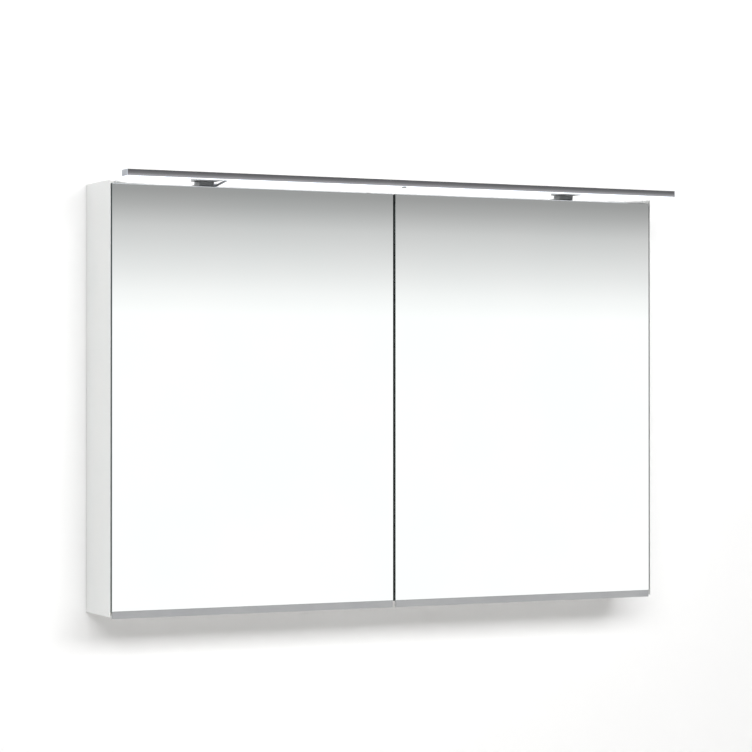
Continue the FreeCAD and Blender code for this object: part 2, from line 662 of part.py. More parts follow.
def make_wiring():
    """Light cable, LED driver, terminal box and the fixed leads between them."""
    make_light_cable()
    driver = block(DRIVER_X, CASE_Y, (DRIVER_TOP - DRIVER_HEIGHT, DRIVER_TOP))
    save("led_driver", softened(driver, 1.2))
    make_terminal_box()
    feed_length = TERMINAL_X[0] - DRIVER_X[1]
    feed = rod(LEAD_RADIUS, (DRIVER_X[1], FEED_Y, DRIVER_TOP - FEED_DROP), (1, 0, 0), feed_length)
    outlet_x = sum(OUTLET_X) / 2
    corner_z = TERMINAL_BOTTOM + LEAD_ENTRY
    lead = [
        Vector(outlet_x, CABLE_REAR_Y, OUTLET_Z[1]),
        Vector(outlet_x, CABLE_REAR_Y, corner_z),
        Vector(TERMINAL_X[1], CABLE_REAR_Y, corner_z),
    ]
    save("fixed_leads", feed, tube(lead, (LEAD_BEND,), LEAD_RADIUS))


# ---- switch box ------------------------------------------------------------

def make_switch_box():
    """Box in the lower right corner and its cover plate, open for a rocker switch and a socket."""
    body = softened(block(BOX_X, (BOX_FRONT, BACK_Y), (FLOOR_Z, FLOOR_Z + BOX_HEIGHT)), 0.5)
    body = body.fuse(block(OUTLET_X, (BACK_Y - 1, -6.0), OUTLET_Z))
    half = ROCKER_WIDTH / 2 + POCKET_PLAY
    pocket_x = (ROCKER_X - half, ROCKER_X + half)
    pocket_z = (BOX_MIDDLE_Z - ROCKER_RADIUS - 1, BOX_MIDDLE_Z + ROCKER_RADIUS + 1)
    body = body.cut(block(pocket_x, (BOX_FRONT - 1, BOX_FRONT + POCKET_DEPTH), pocket_z))
    axle_start = (pocket_x[0] - AXLE_REACH - 0.5, ROCKER_Y, BOX_MIDDLE_Z)
    axle_length = pocket_x[1] - pocket_x[0] + 2 * AXLE_REACH + 1
    body = body.cut(rod(AXLE_RADIUS + BUSH_PLAY, axle_start, (1, 0, 0), axle_length))
    body = body.cut(rod(CUP_RADIUS + SCREW_PLAY, (WELL_X, BOX_FRONT - 1, BOX_MIDDLE_Z), (0, 1, 0), 19.0))
    body = body.cut(rod(15.0, (WELL_X, BOX_FRONT, BOX_MIDDLE_Z), (0, 1, 0), 29.0))
    save("switch_box", body)
    plate_front = BOX_FRONT - BOX_PLATE
    plate = block(BOX_X, (plate_front, BOX_FRONT), (FLOOR_Z, FLOOR_Z + BOX_HEIGHT))
    plate = plate.makeChamfer(0.7, front_edges(plate, plate_front))
    opening_z = (BOX_MIDDLE_Z - 9.9, BOX_MIDDLE_Z + 9.9)
    plate = plate.cut(block(pocket_x, (plate_front - 1, BOX_FRONT + 1), opening_z))
    plate = plate.cut(rod(WELL_RADIUS, (WELL_X, plate_front - 1, BOX_MIDDLE_Z), (0, 1, 0), 4.0))
    save("switch_plate", plate)


def make_socket():
    """Socket cup and the two contact sleeves behind its floor."""
    floor_y = BOX_FRONT - BOX_PLATE + WELL_DEPTH
    cup = rod(CUP_RADIUS, (WELL_X, BOX_FRONT, BOX_MIDDLE_Z), (0, 1, 0), floor_y + 2 - BOX_FRONT)
    cup = cup.cut(rod(WELL_RADIUS, (WELL_X, BOX_FRONT - 1, BOX_MIDDLE_Z), (0, 1, 0), floor_y - BOX_FRONT + 1))
    contacts = []
    for x in (WELL_X - CONTACT_OFFSET, WELL_X + CONTACT_OFFSET):
        cup = cup.cut(rod(CONTACT_BORE, (x, floor_y - 1, BOX_MIDDLE_Z), (0, 1, 0), 5.0))
        sleeve = rod(CONTACT_RADIUS, (x, floor_y + 2, BOX_MIDDLE_Z), (0, 1, 0), 9.0)
        contacts.append(sleeve.cut(rod(CONTACT_BORE, (x, floor_y + 1, BOX_MIDDLE_Z), (0, 1, 0), 12.0)))
    save("socket_cup", cup)
    save("socket_contacts", *contacts)


def make_rocker():
    """Rocker with two axle stubs, resting tilted with its top half out (off)."""
    front = -6.0
    back = 5.0
    rise = ROCKER_RADIUS + 0.5
    slope = rise * tan(radians(ROCKER_TILT))
    outline = [
        (front, 0),
        (front - slope, rise),
        (back, rise),
        (back, -rise),
        (front - slope, -rise),
    ]
    x_low = ROCKER_X - ROCKER_WIDTH / 2
    corners = [Vector(x_low, ROCKER_Y + y, BOX_MIDDLE_Z + z) for y, z in outline]
    wedge = Part.Face(Part.makePolygon(corners + corners[:1])).extrude(Vector(ROCKER_WIDTH, 0, 0))
    disc = rod(ROCKER_RADIUS, (x_low, ROCKER_Y, BOX_MIDDLE_Z), (1, 0, 0), ROCKER_WIDTH)
    rocker = disc.common(wedge)
    axle_start = (x_low - AXLE_REACH, ROCKER_Y, BOX_MIDDLE_Z)
    rocker = rocker.fuse(rod(AXLE_RADIUS, axle_start, (1, 0, 0), ROCKER_WIDTH + 2 * AXLE_REACH))
    rocker.rotate(Vector(ROCKER_X, ROCKER_Y, BOX_MIDDLE_Z), Vector(1, 0, 0), ROCKER_TILT)
    save("switch_rocker", rocker)


# ---- wall fixing -----------------------------------------------------------

def make_wall_rail():
    """Hooked rail with its four screw holes."""
    x_span = (-RAIL_HALF_LENGTH, RAIL_HALF_LENGTH)
    top_z = RAIL_HEIGHT + RAIL_ABOVE
    flat = block(x_span, (-RAIL_SHEET, 0), (RAIL_HEIGHT - RAIL_BELOW, top_z))
    step = block(x_span, (-RAIL_OUT, 0), (top_z - RAIL_SHEET, top_z))
    lip = block(x_span, (-RAIL_OUT, -RAIL_OUT + RAIL_SHEET), (top_z - RAIL_SHEET, RAIL_HEIGHT + LIP_TOP))
    rail = flat.fuse(step).fuse(lip).removeSplitter()
    for x in (RAIL_INNER_HOLES, RAIL_OUTER_HOLES):
        for way in (-1, 1):
            rail = rail.cut(rod(RAIL_HOLE_RADIUS, (way * x, -5, RAIL_HEIGHT), (0, 1, 0), 10.0))
    save("wall_rail", rail)


def make_hangers():
    """Two hangers that hook over the rail, and the screws that set their height."""
    shelf_low, shelf_high = [RAIL_HEIGHT + z for z in HANGER_SHELF]
    back_y = -HANGER_WALL_GAP
    wing = block((BOARD_IN - 3, BOARD_IN), (-15.5, back_y), (RAIL_HEIGHT - 15, RAIL_HEIGHT + 36))
    shelf = block((HANGER_IN, BOARD_IN - 2), (-14.0, back_y), (shelf_low, shelf_high))
    hook = block((HANGER_IN, HOOK_OUT), (-3.6, back_y), (RAIL_HEIGHT + 15, shelf_low + 1))
    hanger = wing.fuse(shelf).fuse(hook).removeSplitter()
    hole_start = (HEIGHT_SCREW_X, HEIGHT_SCREW_Y, RAIL_HEIGHT + 20)
    hanger = hanger.cut(rod(HEIGHT_SCREW_RADIUS + SCREW_PLAY, hole_start, (0, 0, 1), 12.0))
    save("cabinet_hangers", *[on_side(hanger, side) for _, side in SIDES])
    shank_start = (HEIGHT_SCREW_X, HEIGHT_SCREW_Y, shelf_high - HEIGHT_SCREW_LENGTH)
    screw = rod(HEIGHT_SCREW_RADIUS, shank_start, (0, 0, 1), HEIGHT_SCREW_LENGTH)
    screw = screw.fuse(rod(4.2, (HEIGHT_SCREW_X, HEIGHT_SCREW_Y, shelf_high), (0, 0, 1), 2.6))
    save("height_screws", *[on_side(screw, side) for _, side in SIDES])


def main():
    """Build every part of the cabinet."""
    os.makedirs("parts", exist_ok=True)
    make_carcass()
    make_shelves()
    make_hinges()
    for name, side in SIDES:
        make_door(name, side)
    make_catches()
    make_light_bar()
    make_brackets()
    make_wiring()
    make_switch_box()
    make_socket()
    make_rocker()
    make_wall_rail()
    make_hangers()


main()
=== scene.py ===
"""Looks of a mirror cabinet with a light bar: finishes, small detailed pieces, stage and camera."""

import json
import logging
import math
from dataclasses import dataclass, field
from enum import Enum

import bmesh
import bpy
from mathutils import Matrix, Vector


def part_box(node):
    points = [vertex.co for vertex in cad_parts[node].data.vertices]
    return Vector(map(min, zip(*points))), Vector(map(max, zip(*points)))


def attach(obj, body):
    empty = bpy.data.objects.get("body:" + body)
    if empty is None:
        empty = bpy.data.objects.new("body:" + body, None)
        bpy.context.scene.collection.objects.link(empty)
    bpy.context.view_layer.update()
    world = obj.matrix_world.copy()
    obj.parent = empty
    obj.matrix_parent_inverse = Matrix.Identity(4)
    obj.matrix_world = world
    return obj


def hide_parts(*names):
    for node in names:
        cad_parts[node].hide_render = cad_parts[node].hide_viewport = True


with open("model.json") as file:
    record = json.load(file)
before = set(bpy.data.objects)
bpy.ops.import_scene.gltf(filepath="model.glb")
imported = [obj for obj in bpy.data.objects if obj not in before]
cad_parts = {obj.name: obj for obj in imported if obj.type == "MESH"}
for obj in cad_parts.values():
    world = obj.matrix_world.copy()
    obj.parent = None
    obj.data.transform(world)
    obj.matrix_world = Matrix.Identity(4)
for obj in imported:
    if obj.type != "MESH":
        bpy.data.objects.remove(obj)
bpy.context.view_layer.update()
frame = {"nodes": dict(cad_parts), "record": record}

MM = 0.001
MERGE = 0.002 * MM
SMOOTH_BELOW = math.radians(32)
X_AXIS, Y_AXIS, Z_AXIS = Vector((1, 0, 0)), Vector((0, 1, 0)), Vector((0, 0, 1))
log = logging.getLogger("mirror_cabinet")


def linear(hex_colour: str) -> tuple[float, float, float, float]:
    """Turn an sRGB hex colour to linear light.

    Args:
        hex_colour: Six hex digits.

    Returns:
        Red, green, blue and a full alpha.
    """
    channels = [int(hex_colour[i:i + 2], 16) / 255 for i in (0, 2, 4)]
    red, green, blue = [c / 12.92 if c <= 0.04045 else ((c + 0.055) / 1.055) ** 2.4 for c in channels]
    return red, green, blue, 1.0


def add_node(tree: bpy.types.NodeTree, kind: str, values: dict | None = None,
             links: dict | None = None) -> bpy.types.Node:
    """Add a node with its settings and links.

    Args:
        tree: The node tree that gets the node.
        kind: Blender's name of the node type.
        values: Input values or settings, by input name, input number or setting name.
        links: Output sockets that feed the node, by input name or number.

    Returns:
        The new node.
    """
    node = tree.nodes.new(kind)
    for name, value in (values or {}).items():
        if isinstance(name, int) or name in node.inputs:
            node.inputs[name].default_value = value
        else:
            setattr(node, name, value)
    for name, socket in (links or {}).items():
        tree.links.new(socket, node.inputs[name])
    return node


def per_metre(size_mm: float) -> float:
    """Pattern scale, in repeats per metre, of a pattern with features of that size."""
    return 1.0 / (size_mm * MM)


# ---------------------------------------------------------------- finishes

@dataclass(frozen=True)
class Finish:
    """A named surface finish that builds its own material.

    Args:
        name: Name of the finish, as a maker would say it.
        colour: Main colour, sRGB hex.
        shade: Second colour that the main one drifts to in patches, sRGB hex.
        roughness: Least and greatest roughness.
    """

    name: str
    colour: str
    shade: str
    roughness: tuple[float, float]

    def start(self) -> tuple[bpy.types.Material, bpy.types.NodeTree, bpy.types.NodeSocket]:
        """Make the empty material.

        Returns:
            The material, its node tree and the object coordinates.
        """
        material = bpy.data.materials.new(self.name)
        material.use_nodes = True
        tree = material.node_tree
        tree.nodes.clear()
        coords = add_node(tree, "ShaderNodeTexCoord").outputs["Object"]
        return material, tree, coords

    def patches(self, tree: bpy.types.NodeTree, coords: bpy.types.NodeSocket,
                size_mm: float, detail: float = 3.0) -> bpy.types.NodeSocket:
        """Soft noise from 0 to 1.

        Args:
            tree: The material's node tree.
            coords: The coordinates that it reads.
            size_mm: Size of its features.
            detail: Number of finer layers in it.

        Returns:
            The noise.
        """
        values = {"Scale": per_metre(size_mm), "Detail": detail}
        return add_node(tree, "ShaderNodeTexNoise", values, {"Vector": coords}).outputs["Fac"]

    def relief(self, tree: bpy.types.NodeTree, height: bpy.types.NodeSocket, depth_mm: float,
               strength: float) -> bpy.types.NodeSocket:
        """Fine relief of the surface.

        Args:
            tree: The material's node tree.
            height: Pattern of the relief, from 0 to 1.
            depth_mm: Height of the relief.
            strength: Share of the relief that shows.

        Returns:
            The bent normal.
        """
        values = {"Strength": strength, "Distance": depth_mm * MM}
        return add_node(tree, "ShaderNodeBump", values, {"Height": height}).outputs["Normal"]

    def tinted(self, tree: bpy.types.NodeTree, factor: bpy.types.NodeSocket) -> bpy.types.NodeSocket:
        """Colour that moves between the finish's two colours in the middle third of the factor.

        Args:
            tree: The material's node tree.
            factor: Pattern of the drift, from 0 to 1.

        Returns:
            The colour.
        """
        ramp = add_node(tree, "ShaderNodeValToRGB", links={"Fac": factor})
        for stop, position, colour in zip(ramp.color_ramp.elements, (0.35, 0.65), (self.shade, self.colour)):
            stop.position = position
            stop.color = linear(colour)
        return ramp.outputs["Color"]

    def ranged(self, tree: bpy.types.NodeTree, factor: bpy.types.NodeSocket) -> bpy.types.NodeSocket:
        """Roughness that moves between the finish's two values; noise rarely leaves 0.3 to 0.7.

        Args:
            tree: The material's node tree.
            factor: Pattern of the drift, from 0 to 1.

        Returns:
            The roughness.
        """
        least, greatest = self.roughness
        values = {"From Min": 0.3, "From Max": 0.7, "To Min": least, "To Max": greatest}
        return add_node(tree, "ShaderNodeMapRange", values, {"Value": factor}).outputs["Result"]

    def close(self, tree: bpy.types.NodeTree, shader: bpy.types.NodeSocket) -> None:
        """Send the shader to the material's output."""
        add_node(tree, "ShaderNodeOutputMaterial", links={"Surface": shader})


@dataclass(frozen=True)
class GrainedCoat(Finish):
    """Paint, melamine, moulded plastic or rubber: an even colour over a fine relief.

    Args:
        grain_mm: Size of the relief's features, drawn as coarse as it needs to show.
        depth_mm: Height of the relief.
        patch_mm: Size of the patches in which colour and roughness drift.
        coat: Weight of a clear gloss layer.
        coat_roughness: Roughness of that layer.
        subsurface: Share of light that enters the surface.
        scatter_mm: How far that light spreads.
    """

    grain_mm: float
    depth_mm: float
    patch_mm: float = 70.0
    coat: float = 0.0
    coat_roughness: float = 0.08
    subsurface: float = 0.0
    scatter_mm: float = 2.0

    def build(self) -> bpy.types.Material:
        """Build the material.

        Returns:
            The finished material.
        """
        material, tree, coords = self.start()
        patch = self.patches(tree, coords, self.patch_mm)
        grain = self.patches(tree, coords, self.grain_mm, 4.0)
        values = {"Coat Weight": self.coat, "Coat Roughness": self.coat_roughness,
                  "Subsurface Weight": self.subsurface, "Subsurface Scale": self.scatter_mm * MM}
        links = {"Base Color": self.tinted(tree, patch), "Roughness": self.ranged(tree, patch),
                 "Normal": self.relief(tree, grain, self.depth_mm, 0.6)}
        self.close(tree, add_node(tree, "ShaderNodeBsdfPrincipled", values, links).outputs[0])
        return material


class Grain(Enum):
    """Direction of a metal's grain, as the stretch of its pattern along X, Y and Z."""

    ALONG_X = (0.006, 1.0, 1.0)
    EVEN = (1.0, 1.0, 1.0)


@dataclass(frozen=True)
class WorkedMetal(Finish):
    """Bare or anodised metal whose grain shows in its gloss.

    Args:
        grain_mm: Width of one grain line, drawn as coarse as it needs to show.
        depth_mm: Depth of the grain.
        grain: Direction of the grain.
        patch_mm: Size of the patches in which the colour drifts.
    """

    grain_mm: float
    depth_mm: float
    grain: Grain = Grain.ALONG_X
    patch_mm: float = 45.0

    def build(self) -> bpy.types.Material:
        """Build the material.

        Returns:
            The finished material.
        """
        material, tree, coords = self.start()
        stretched = add_node(tree, "ShaderNodeMapping", {"Scale": self.grain.value}, {"Vector": coords})
        lines = self.patches(tree, stretched.outputs["Vector"], self.grain_mm, 2.0)
        patch = self.patches(tree, coords, self.patch_mm)
        links = {"Base Color": self.tinted(tree, patch), "Roughness": self.ranged(tree, lines),
                 "Normal": self.relief(tree, lines, self.depth_mm, 0.5)}
        self.close(tree, add_node(tree, "ShaderNodeBsdfPrincipled", {"Metallic": 1.0}, links).outputs[0])
        return material


@dataclass(frozen=True)
class Spangled(Finish):
    """Zinc-plated sheet, with faint crystals that differ in gloss.

    Args:
        crystal_mm: Size of one crystal.
        patch_mm: Size of the patches in which the colour drifts.
    """

    crystal_mm: float
    patch_mm: float = 20.0

    def build(self) -> bpy.types.Material:
        """Build the material.

        Returns:
            The finished material.
        """
        material, tree, coords = self.start()
        cells = add_node(tree, "ShaderNodeTexVoronoi", {"Scale": per_metre(self.crystal_mm)},
                         {"Vector": coords})
        tone = add_node(tree, "ShaderNodeSeparateColor", links={"Color": cells.outputs["Color"]}).outputs[0]
        patch = self.patches(tree, coords, self.patch_mm)
        links = {"Base Color": self.tinted(tree, patch), "Roughness": self.ranged(tree, tone)}
        self.close(tree, add_node(tree, "ShaderNodeBsdfPrincipled", {"Metallic": 1.0}, links).outputs[0])
        return material


@dataclass(frozen=True)
class EdgedGlass(Finish):
    """Sheet glass: one look on its two large faces, and a green one on its ground edges.

    Args:
        edge: Colour of the ground edges, sRGB hex.
        face_axis: Axis that the large faces look along, X, Y or Z.
        silvered: Whether the large faces are a mirror, or clear.
        ior: Index of refraction of float glass.
        haze_mm: Size of the patches in which colour, gloss and flatness drift.
        grind_mm: Size of the ground edges' grain, drawn as coarse as it needs to show.
        edge_roughness: Roughness of the ground edges.
    """

    edge: str
    face_axis: str
    silvered: bool
    ior: float = 1.52
    haze_mm: float = 180.0
    grind_mm: float = 0.8
    edge_roughness: float = 0.22

    def build(self) -> bpy.types.Material:
        """Build the material.

        Returns:
            The finished material.
        """
        material, tree, coords = self.start()
        normal = add_node(tree, "ShaderNodeNewGeometry").outputs["True Normal"]
        split = add_node(tree, "ShaderNodeSeparateXYZ", links={"Vector": normal}).outputs[self.face_axis]
        size = add_node(tree, "ShaderNodeMath", {"operation": "ABSOLUTE"}, {0: split}).outputs[0]
        is_face = add_node(tree, "ShaderNodeMath", {"operation": "GREATER_THAN", 1: 0.9},
                           {0: size}).outputs[0]
        haze = self.patches(tree, coords, self.haze_mm)
        links = {"Base Color": self.tinted(tree, haze), "Roughness": self.ranged(tree, haze)}
        edge_values = {"Base Color": linear(self.edge), "Roughness": self.edge_roughness, "IOR": self.ior}
        if self.silvered:
            values = {"Metallic": 1.0}
            # float glass is flat to a few microns over a hand's width, which bends reflections very slightly
            links["Normal"] = self.relief(tree, haze, 0.02, 0.05)
        else:
            values = {"Transmission Weight": 1.0, "IOR": self.ior}
            edge_values["Transmission Weight"] = 0.5
        face = add_node(tree, "ShaderNodeBsdfPrincipled", values, links).outputs[0]
        ground = self.relief(tree, self.patches(tree, coords, self.grind_mm), 0.05, 0.3)
        edge = add_node(tree, "ShaderNodeBsdfPrincipled", edge_values, {"Normal": ground}).outputs[0]
        mix = add_node(tree, "ShaderNodeMixShader", links={0: is_face, 1: edge, 2: face})
        self.close(tree, mix.outputs[0])
        return material


@dataclass(frozen=True)
class LitPlastic(Finish):
    """Plastic over or in a row of LEDs, brightest at each LED.

    Args:
        pitch_mm: Distance from one LED to the next.
        glow: Strength of the light that it gives off.
        grain_mm: Size of the moulded relief's features.
    """

    pitch_mm: float
    glow: float
    grain_mm: float = 1.2

    def build(self) -> bpy.types.Material:
        """Build the material.

        Returns:
            The finished material.
        """
        material, tree, coords = self.start()
        x = add_node(tree, "ShaderNodeSeparateXYZ", links={"Vector": coords}).outputs["X"]
        turn = math.tau * per_metre(self.pitch_mm)
        turns = add_node(tree, "ShaderNodeMath", {"operation": "MULTIPLY", 1: turn}, {0: x}).outputs[0]
        # an LED sits half a pitch from the middle of the bar, where the cosine is at its least
        swing = add_node(tree, "ShaderNodeMath", {"operation": "COSINE"}, {0: turns}).outputs[0]
        values = {"From Min": 1.0, "From Max": -1.0, "To Min": 0.0, "To Max": 1.0}
        fade = add_node(tree, "ShaderNodeMapRange", values, {"Value": swing}).outputs[0]
        colour = self.tinted(tree, fade)
        grain = self.patches(tree, coords, self.grain_mm)
        links = {"Base Color": colour, "Emission Color": colour, "Roughness": self.ranged(tree, grain),
                 "Normal": self.relief(tree, grain, 0.03, 0.3)}
        lit = add_node(tree, "ShaderNodeBsdfPrincipled", {"Emission Strength": self.glow}, links)
        self.close(tree, lit.outputs[0])
        return material


@dataclass
class FinishBook:
    """All finishes of the cabinet, by the record's material slot."""

    made: dict[str, bpy.types.Material] = field(default_factory=dict)

    def finishes(self) -> dict[str, Finish]:
        """Name the finish of each slot.

        Returns:
            Finish by slot.
        """
        led_pitch = 16.0
        return {
            # melamine-faced board: an even satin white with a fine pearl relief
            "white_board": GrainedCoat("satin_white_melamine", "F1F1EF", "ECECEA", (0.32, 0.42), 0.9, 0.03),
            # wet-lacquered sheet: smoother than the board, with a faint orange peel
            "white_lacquer": GrainedCoat("satin_white_lacquer", "F3F4F3", "F1F3F2", (0.3, 0.36), 2.2, 0.01,
                                         coat=0.15),
            # door core board coloured black, so its edges in the gaps between and beside the doors give
            # painted shade of those deep gaps: matt, with fine fibres
            "black_board": GrainedCoat("black_door_core_painted_gap_shade", "18191A", "121314", (0.6, 0.75), 0.8,
                                       0.05),
            # silvered float glass: near-perfect mirror with grey-green ground edges
            "mirror_glass": EdgedGlass("silvered_float_glass", "F7F9F8", "F5F8F7", (0.004, 0.012), "838B89",
                                       "Y", True),
            # toughened float glass: clear face, green edge
            "clear_glass": EdgedGlass("toughened_float_glass", "F3FAF7", "EEF7F3", (0.01, 0.03), "7DB09F",
                                      "Z", False),
            # anodised extrusion: soft lengthwise grain
            "satin_aluminium": WorkedMetal("satin_anodised_aluminium", "B1B2B3", "ABACAE", (0.3, 0.42), 0.35,
                                           0.01),
            # titanium-grey anodised extrusion: glossy, darker than bare metal, with faint drawing lines
            "polished_aluminium": WorkedMetal("titanium_grey_anodised", "BBBBBE", "B6B6BA", (0.06, 0.12), 0.5,
                                              0.002),
            # moulded ABS: matt grey with a fine spark texture
            "grey_plastic": GrainedCoat("matt_grey_abs", "BCC0C8", "B5B9C1", (0.42, 0.55), 0.5, 0.03, 30.0),
            # opal acrylic: milky, glowing a little stronger over each LED
            "opal_plastic": LitPlastic("opal_acrylic", "F4F8FF", "E9F0FA", (0.35, 0.45), led_pitch, 1.15),
            # phosphor gel in a white carrier
            "led_phosphor": LitPlastic("led_phosphor", "FFE9A8", "F3F1EA", (0.3, 0.5), led_pitch, 1.5),
            # smoked polycarbonate lens: dark and glossy
            "dark_plastic": GrainedCoat("smoked_polycarbonate", "55585B", "4C4F52", (0.08, 0.15), 1.5, 0.005,
                                        5.0, coat=0.6),
            # powder-coated steel: silver grey with a fine peel
            "bracket_metal": GrainedCoat("silver_powder_coat", "C9CBCD", "C3C5C7", (0.34, 0.46), 0.9, 0.05,
                                         25.0),
            # powder-coated steel: mid grey, a little rougher
            "dark_metal": GrainedCoat("grey_powder_coat", "9A9C9F", "929497", (0.4, 0.52), 0.9, 0.05, 25.0),
            # zinc-plated steel: bluish metal with faint crystals
            "zinc_steel": Spangled("zinc_plated_steel", "C5CACF", "BBC0C4", (0.2, 0.4), 2.6),
            # unfilled nylon: warm white and slightly translucent
            "nylon": GrainedCoat("natural_nylon", "ECEAE0", "E4E1D6", (0.36, 0.46), 0.7, 0.02, 8.0,
                                 subsurface=0.2),
            # cast silicone: clear and soft
            "clear_rubber": GrainedCoat("clear_silicone", "DDE1E2", "D3D8DA", (0.2, 0.32), 1.0, 0.01, 5.0,
                                        subsurface=0.4),
            # moulded polycarbonate: cool white
            "driver_case": GrainedCoat("white_polycarbonate", "E3E6E8", "DBDFE1", (0.36, 0.5), 0.6, 0.03,
                                       30.0),
            # glossy moulded plastic of switches
            "white_plastic": GrainedCoat("gloss_white_urea", "F0F0EC", "EAEAE6", (0.12, 0.2), 3.0, 0.006,
                                         20.0, coat=0.4),
            # turned brass: its fine rings are finer than the render shows, so the grain is even
            "brass": WorkedMetal("turned_brass", "CDA75B", "BE9850", (0.18, 0.3), 0.4, 0.01, Grain.EVEN),
        }

    def build(self) -> None:
        """Build every material."""
        for slot, finish in self.finishes().items():
            self.made[slot] = finish.build()
            log.info("finish %s for slot %s", finish.name, slot)

    def dress_frame(self) -> None:
        """Give every CAD node the material of its slot."""
        for entry in frame["record"]["subparts"]:
            self.dress(frame["nodes"][entry["node"]], entry["material_slot"])

    def dress(self, piece: bpy.types.Object, slot: str) -> None:
        """Put one slot's material on a piece as its only material."""
        piece.data.materials.clear()
        piece.data.materials.append(self.made[slot])


# ---------------------------------------------------------------- making pieces

def make_piece(name: str, bm: bmesh.types.BMesh, slot: str, book: FinishBook,
               replaced: tuple[str, ...] = (), body: str = "cabinet") -> None:
    """Turn a bmesh to a finished piece that rides on a body.

    Args:
        name: Name of the piece.
        bm: Its mesh, in metres and in place. It is freed.
        slot: The record's material slot that it takes.
        book: The finishes.
        replaced: CAD nodes that it stands for.
        body: CAD body that it rides on.
    """
    bmesh.ops.remove_doubles(bm, verts=bm.verts[:], dist=MERGE)
    bmesh.ops.recalc_face_normals(bm, faces=bm.faces[:])
    mesh = bpy.data.meshes.new(name)
    bm.to_mesh(mesh)
    bm.free()
    piece = bpy.data.objects.new(name, mesh)
    bpy.context.scene.collection.objects.link(piece)
    mesh.shade_smooth()
    mesh.set_sharp_from_angle(angle=SMOOTH_BELOW)
    book.dress(piece, slot)
    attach(piece, body)
    if replaced:
        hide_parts(*replaced)
    log.info("piece %s: %d faces on %s", name, len(mesh.polygons), body)


def add_block(bm: bmesh.types.BMesh, low: Vector, high: Vector, bevel: float) -> None:
    """Add a box with rounded edges.

    Args:
        bm: The mesh that gets it.
        low: Lowest corner, in metres.
        high: Highest corner, in metres.
        bevel: Radius of its edges, in metres.
    """
    middle = (low + high) / 2
    size = high - low
    matrix = Matrix.Translation(middle) @ Matrix.Diagonal((*size, 1.0))
    made = bmesh.ops.create_cube(bm, size=1.0, matrix=matrix)
    edges = list({edge for vert in made["verts"] for edge in vert.link_edges})
    bmesh.ops.bevel(bm, geom=edges, offset=bevel, offset_type="OFFSET", affect="EDGES", segments=3,
                    profile=0.5, material=-1)


def next_ring(bm: bmesh.types.BMesh, edges: list[bmesh.types.BMEdge], before: tuple[float, float],
              after: tuple[float, float]) -> tuple[list[bmesh.types.BMVert], list[bmesh.types.BMEdge]]:
    """Extrude a ring round the Z axis to another radius and height.

    Args:
        bm: The mesh that grows.
        edges: The ring's edges.
        before: Radius and height of the ring.
        after: Radius and height of the new ring.

    Returns:
        The new ring's points and edges.
    """
    grown = bmesh.ops.extrude_edge_only(bm, edges=edges)["geom"]
    verts = [item for item in grown if isinstance(item, bmesh.types.BMVert)]
    scale = after[0] / before[0]
    bmesh.ops.scale(bm, verts=verts, vec=(scale, scale, 1.0))
    bmesh.ops.translate(bm, verts=verts, vec=(0, 0, after[1] - before[1]))
    return verts, [item for item in grown if isinstance(item, bmesh.types.BMEdge)]


@dataclass(frozen=True)
class Turning:
    """A turned shape: rings of a radius at a height along its own axis.

    Args:
        rings: Radius and height of each ring, from the start to the end, in metres.
        segments: Faces round the axis.
    """

    rings: tuple[tuple[float, float], ...]
    segments: int = 24

    def add(self, bm: bmesh.types.BMesh, place: Matrix) -> None:
        """Add the closed shape to a mesh.

        Args:
            bm: The mesh that gets it.
            place: Turns the shape's axis from +Z and puts it in its place.
        """
        radius, height = self.rings[0]
        made = bmesh.ops.create_circle(bm, cap_ends=True, segments=self.segments, radius=radius,
                                       matrix=Matrix.Translation((0, 0, height)))
        shell = list(made["verts"])
        edges = [edge for edge in bm.edges if edge.verts[0] in shell and edge.verts[1] in shell]
        for before, after in zip(self.rings, self.rings[1:]):
            verts, edges = next_ring(bm, edges, before, after)
            shell += verts
        bmesh.ops.contextual_create(bm, geom=edges)
        bmesh.ops.transform(bm, matrix=place, verts=shell)


@dataclass(frozen=True)
class Fastener:
    """One screw or pin, measured on its CAD solid.

    Args:
        tip: End of the shank.
        out: Direction from the tip to the head.
        length: Whole length.
        shank: Radius of the shank.
        head: Radius of the head.
        head_height: Height of the head.
    """

    tip: Vector
    out: Vector
    length: float
    shank: float
    head: float
    head_height: float

    @classmethod
    def measured(cls, verts: list[Vector]) -> "Fastener":
        """Measure one solid of revolution with a head at one end.

        Args:
            verts: Its points.

        Returns:
            The fastener.
        """
        low = Vector([min(v[i] for v in verts) for i in range(3)])
        high = Vector([max(v[i] for v in verts) for i in range(3)])
        size = high - low
        along = max(range(3), key=lambda i: size[i])
        middle = (low + high) / 2

        def radius(vert: Vector) -> float:
            """Distance of a point from the axis."""
            away = vert - middle
            away[along] = 0.0
            return away.length

        reach = 0.02 * MM
        ends = {
            -1: max(radius(v) for v in verts if v[along] < low[along] + reach),
            1: max(radius(v) for v in verts if v[along] > high[along] - reach),
        }
        way = max(ends, key=lambda key: ends[key])
        shank = ends[-way]
        wide = [v[along] for v in verts if radius(v) > shank * 1.15]
        out = Vector((0, 0, 0))
        out[along] = way
        tip = middle.copy()
        tip[along] = low[along] if way > 0 else high[along]
        return cls(tip, out, size[along], shank, max(ends.values()), max(wide) - min(wide))

    def place(self) -> Matrix:
        """Matrix that puts a shape standing on +Z at the tip, pointing out."""
        return Matrix.Translation(self.tip) @ self.out.to_track_quat("Z", "Y").to_matrix().to_4x4()


class Drive(Enum):
    """Shape of a screw's head."""

    PAN = "pan"
    COUNTERSUNK = "countersunk"


